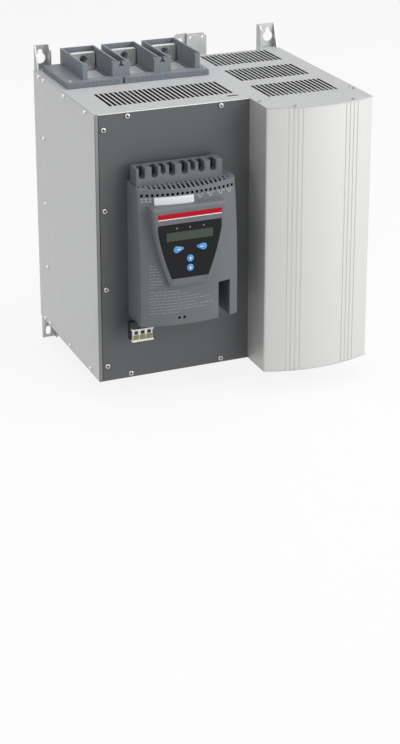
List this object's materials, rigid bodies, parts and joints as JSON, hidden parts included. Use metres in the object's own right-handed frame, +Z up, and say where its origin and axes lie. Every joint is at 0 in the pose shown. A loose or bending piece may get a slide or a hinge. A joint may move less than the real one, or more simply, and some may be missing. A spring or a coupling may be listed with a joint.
{
  "type": "soft starter",
  "caption": "Wall-mounted motor soft starter: two-module sheet-metal case with terminal shrouds, keypad control unit on a dark panel, bowed grooved cover, fans and a bypass contactor.",
  "frame": {"origin": "on the wall plane, in the middle of the case's width and height", "axes": "+Z up, +Y into the wall, so the front faces -Y, +X to the right seen from the front"},
  "size_m": [0.4402, 0.381, 0.515],
  "materials": {
    "zinc_sheet": "galvanised",
    "dark_panel": "satin",
    "cover_aluminium": "fine brushed",
    "screw_steel": "zinc plated",
    "shroud_plastic": "matte",
    "tinned_copper": "tinned",
    "copper": "plain",
    "sink_aluminium": "extruded",
    "black_plastic": "matte",
    "ivory_plastic": "matte",
    "core_steel": "laminated",
    "unit_plastic": "fine texture",
    "pad_black": "satin",
    "display_glass": "gloss",
    "key_blue": "satin",
    "board_green": "satin",
    "plug_white": "satin"
  },
  "bodies": {
    "case": {"mount_rail_left": "zinc_sheet", "mount_rail_right": "zinc_sheet", "joining_bracket": "zinc_sheet", "back_plate": "zinc_sheet", "left_side_panel": "zinc_sheet", "right_side_panel": "zinc_sheet", "top_plate": "zinc_sheet", "bottom_plate": "zinc_sheet", "divider_panel": "zinc_sheet", "front_panel": "dark_panel", "right_cover": "cover_aluminium", "cover_cap_top": "cover_aluminium", "cover_cap_bottom": "cover_aluminium", "panel_screws": "screw_steel", "case_screws": "screw_steel", "line_shroud": "shroud_plastic", "load_shroud": "shroud_plastic", "line_bar_left": "tinned_copper", "line_bar_middle": "tinned_copper", "line_bar_right": "tinned_copper", "line_links": "copper", "load_bar_left": "tinned_copper", "load_bar_middle": "tinned_copper", "load_bar_right": "tinned_copper", "load_links": "copper", "current_transformer_left": "black_plastic", "current_transformer_middle": "black_plastic", "current_transformer_right": "black_plastic", "heat_sink_rear": "sink_aluminium", "thyristor_rear": "ivory_plastic", "fan_frame_rear": "black_plastic", "heat_sink_middle": "sink_aluminium", "thyristor_middle": "ivory_plastic", "fan_frame_middle": "black_plastic", "heat_sink_front": "sink_aluminium", "thyristor_front": "ivory_plastic", "fan_frame_front": "black_plastic", "contactor_base": "black_plastic", "contactor_cover": "black_plastic", "contactor_coil": "copper", "contactor_core": "core_steel", "fixed_contacts": "copper", "control_housing": "unit_plastic", "terminal_block": "black_plastic", "control_board": "board_green", "keypad_bezel": "unit_plastic", "keypad_panel": "pad_black", "display": "display_glass", "terminal_plug": "plug_white"},
    "contactor_moving": {"contactor_carriage": "ivory_plastic", "contact_bridges": "copper", "contactor_armature": "core_steel"},
    "fan_rear": {"fan_rotor_rear": "black_plastic"},
    "fan_middle": {"fan_rotor_middle": "black_plastic"},
    "fan_front": {"fan_rotor_front": "black_plastic"},
    "button_left": {"key_left": "key_blue"},
    "button_right": {"key_right": "key_blue"},
    "button_up": {"key_up": "key_blue"},
    "button_down": {"key_down": "key_blue"}
  },
  "joints": [
    {"name": "bypass_slide", "type": "slide", "parent": "case", "child": "contactor_moving", "axis": [0, 1, 0], "range_m": [0, 0.0075], "stiffness_N_per_m": 3000},
    {"name": "fan_rear_spin", "type": "hinge", "parent": "case", "child": "fan_rear", "pos_m": [0.127, -0.061, -0.205], "axis": [0, 0, 1], "continuous": true},
    {"name": "fan_middle_spin", "type": "hinge", "parent": "case", "child": "fan_middle", "pos_m": [0.127, -0.165, -0.205], "axis": [0, 0, 1], "continuous": true},
    {"name": "fan_front_spin", "type": "hinge", "parent": "case", "child": "fan_front", "pos_m": [0.127, -0.269, -0.205], "axis": [0, 0, 1], "continuous": true},
    {"name": "key_left_press", "type": "slide", "parent": "case", "child": "button_left", "axis": [0, 1, 0], "range_m": [0, 0.001], "stiffness_N_per_m": 900},
    {"name": "key_right_press", "type": "slide", "parent": "case", "child": "button_right", "axis": [0, 1, 0], "range_m": [0, 0.001], "stiffness_N_per_m": 900},
    {"name": "key_up_press", "type": "slide", "parent": "case", "child": "button_up", "axis": [0, 1, 0], "range_m": [0, 0.001], "stiffness_N_per_m": 900},
    {"name": "key_down_press", "type": "slide", "parent": "case", "child": "button_down", "axis": [0, 1, 0], "range_m": [0, 0.001], "stiffness_N_per_m": 900}
  ]
}
